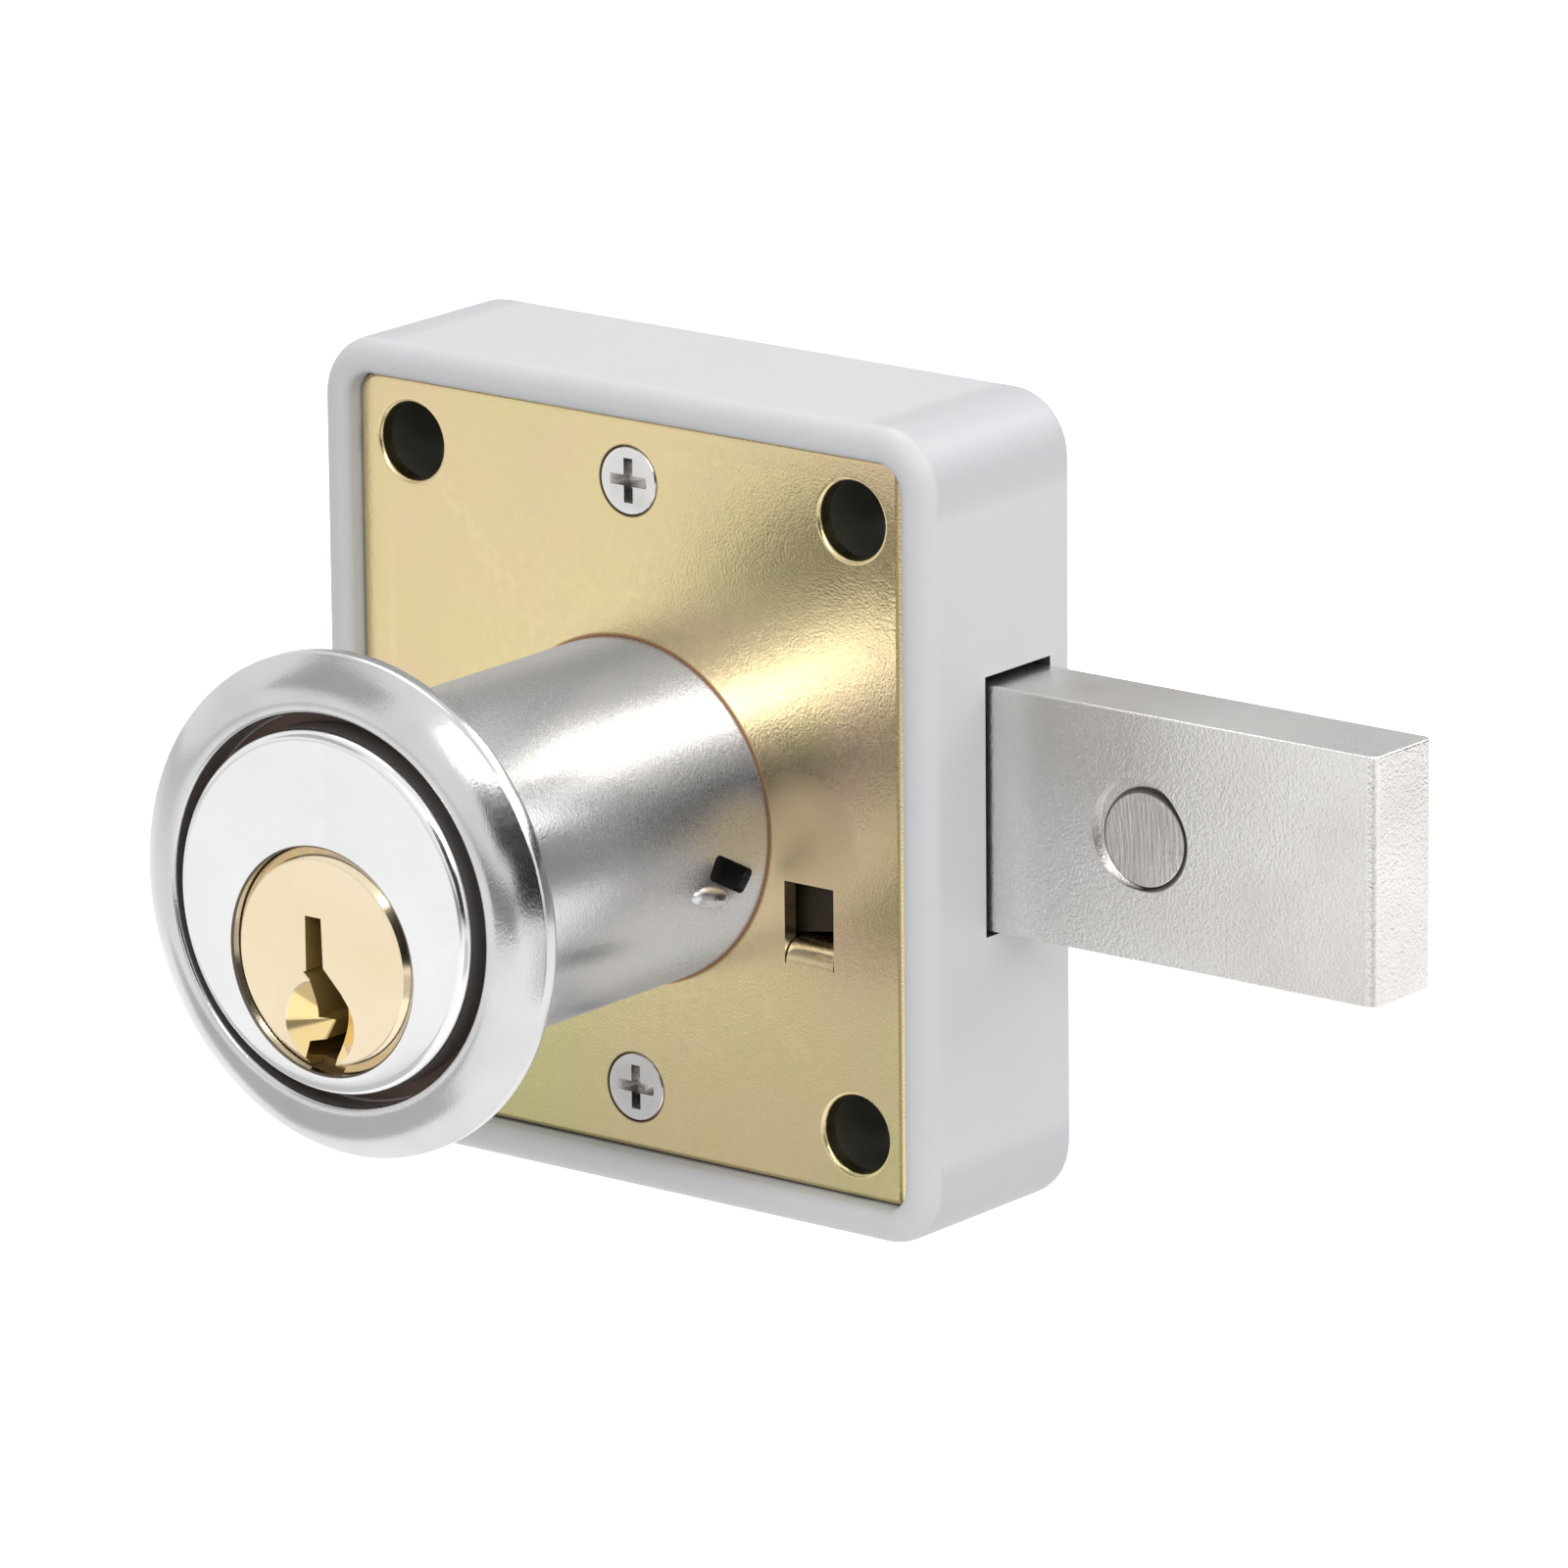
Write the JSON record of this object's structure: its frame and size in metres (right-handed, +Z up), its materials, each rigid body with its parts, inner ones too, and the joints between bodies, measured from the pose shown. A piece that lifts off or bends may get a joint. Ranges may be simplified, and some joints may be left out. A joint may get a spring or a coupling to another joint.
{
  "type": "furniture rim lock",
  "caption": "Surface-mounted furniture deadbolt lock with a die-cast case, a long push-through cylinder barrel, a loose trim ring and a rectangular bolt thrown sideways.",
  "frame": {"origin": "barrel axis where it crosses the mounting plane, which is the crest of the case's rim", "axes": "+X is the way the bolt is thrown, -Y points along the barrel to the user, +Z is up"},
  "size_m": [0.0695, 0.0391, 0.0467],
  "materials": {
    "case_paint": "satin",
    "plate_zinc": "satin",
    "screw_nickel": "bright",
    "sleeve_nickel": "satin",
    "head_chrome": "satin",
    "plug_brass": "polished",
    "pin_brass": "turned",
    "spring_steel": "bright",
    "arm_black": "blackened",
    "bolt_nickel": "satin",
    "bolt_pin_nickel": "satin",
    "ring_chrome": "polished"
  },
  "bodies": {
    "lock_body": {"lock_case": "case_paint", "cover_plate": "plate_zinc", "cover_plate_screw_top": "screw_nickel", "cover_plate_screw_bottom": "screw_nickel", "barrel_sleeve": "sleeve_nickel", "cylinder_housing": "head_chrome", "chamber_cover": "pin_brass", "pin_spring_1": "spring_steel", "pin_spring_2": "spring_steel", "pin_spring_3": "spring_steel", "pin_spring_4": "spring_steel", "pin_spring_5": "spring_steel"},
    "plug": {"cylinder_plug": "plug_brass", "key_pin_1": "pin_brass", "key_pin_2": "pin_brass", "key_pin_3": "pin_brass", "key_pin_4": "pin_brass", "key_pin_5": "pin_brass", "plug_clip": "spring_steel", "crank_arm": "arm_black", "crank_pin": "arm_black", "tail_screw": "screw_nickel"},
    "bolt": {"bolt": "bolt_nickel", "bolt_pin": "bolt_pin_nickel"},
    "trim_ring": {"trim_ring": "ring_chrome"},
    "driver_1": {"driver_pin_1": "pin_brass"},
    "driver_2": {"driver_pin_2": "pin_brass"},
    "driver_3": {"driver_pin_3": "pin_brass"},
    "driver_4": {"driver_pin_4": "pin_brass"},
    "driver_5": {"driver_pin_5": "pin_brass"}
  },
  "joints": [
    {"name": "key_turn", "type": "hinge", "parent": "lock_body", "child": "plug", "pos_m": [0, 0, -0.0027], "axis": [0, -1, 0], "range_deg": [0, 180]},
    {"name": "bolt_throw", "type": "slide", "parent": "lock_body", "child": "bolt", "axis": [1, 0, 0], "range_m": [-0.0261, 0]},
    {"name": "ring_slide", "type": "slide", "parent": "lock_body", "child": "trim_ring", "axis": [0, 1, 0], "range_m": [0, 0.022]},
    {"name": "driver_lift_1", "type": "slide", "parent": "lock_body", "child": "driver_1", "axis": [0, 0, 1], "range_m": [0, 0.0012], "stiffness_N_per_m": 120, "springref_m": -0.001, "deforming": ["pin_spring_1"]},
    {"name": "driver_lift_2", "type": "slide", "parent": "lock_body", "child": "driver_2", "axis": [0, 0, 1], "range_m": [0, 0.0012], "stiffness_N_per_m": 120, "springref_m": -0.001, "deforming": ["pin_spring_2"]},
    {"name": "driver_lift_3", "type": "slide", "parent": "lock_body", "child": "driver_3", "axis": [0, 0, 1], "range_m": [0, 0.0012], "stiffness_N_per_m": 120, "springref_m": -0.001, "deforming": ["pin_spring_3"]},
    {"name": "driver_lift_4", "type": "slide", "parent": "lock_body", "child": "driver_4", "axis": [0, 0, 1], "range_m": [0, 0.0012], "stiffness_N_per_m": 120, "springref_m": -0.001, "deforming": ["pin_spring_4"]},
    {"name": "driver_lift_5", "type": "slide", "parent": "lock_body", "child": "driver_5", "axis": [0, 0, 1], "range_m": [0, 0.0012], "stiffness_N_per_m": 120, "springref_m": -0.001, "deforming": ["pin_spring_5"]}
  ],
  "couplings": [
    {"joint": "key_turn", "follows": "bolt_throw", "rad_per_m": -120.37}
  ]
}
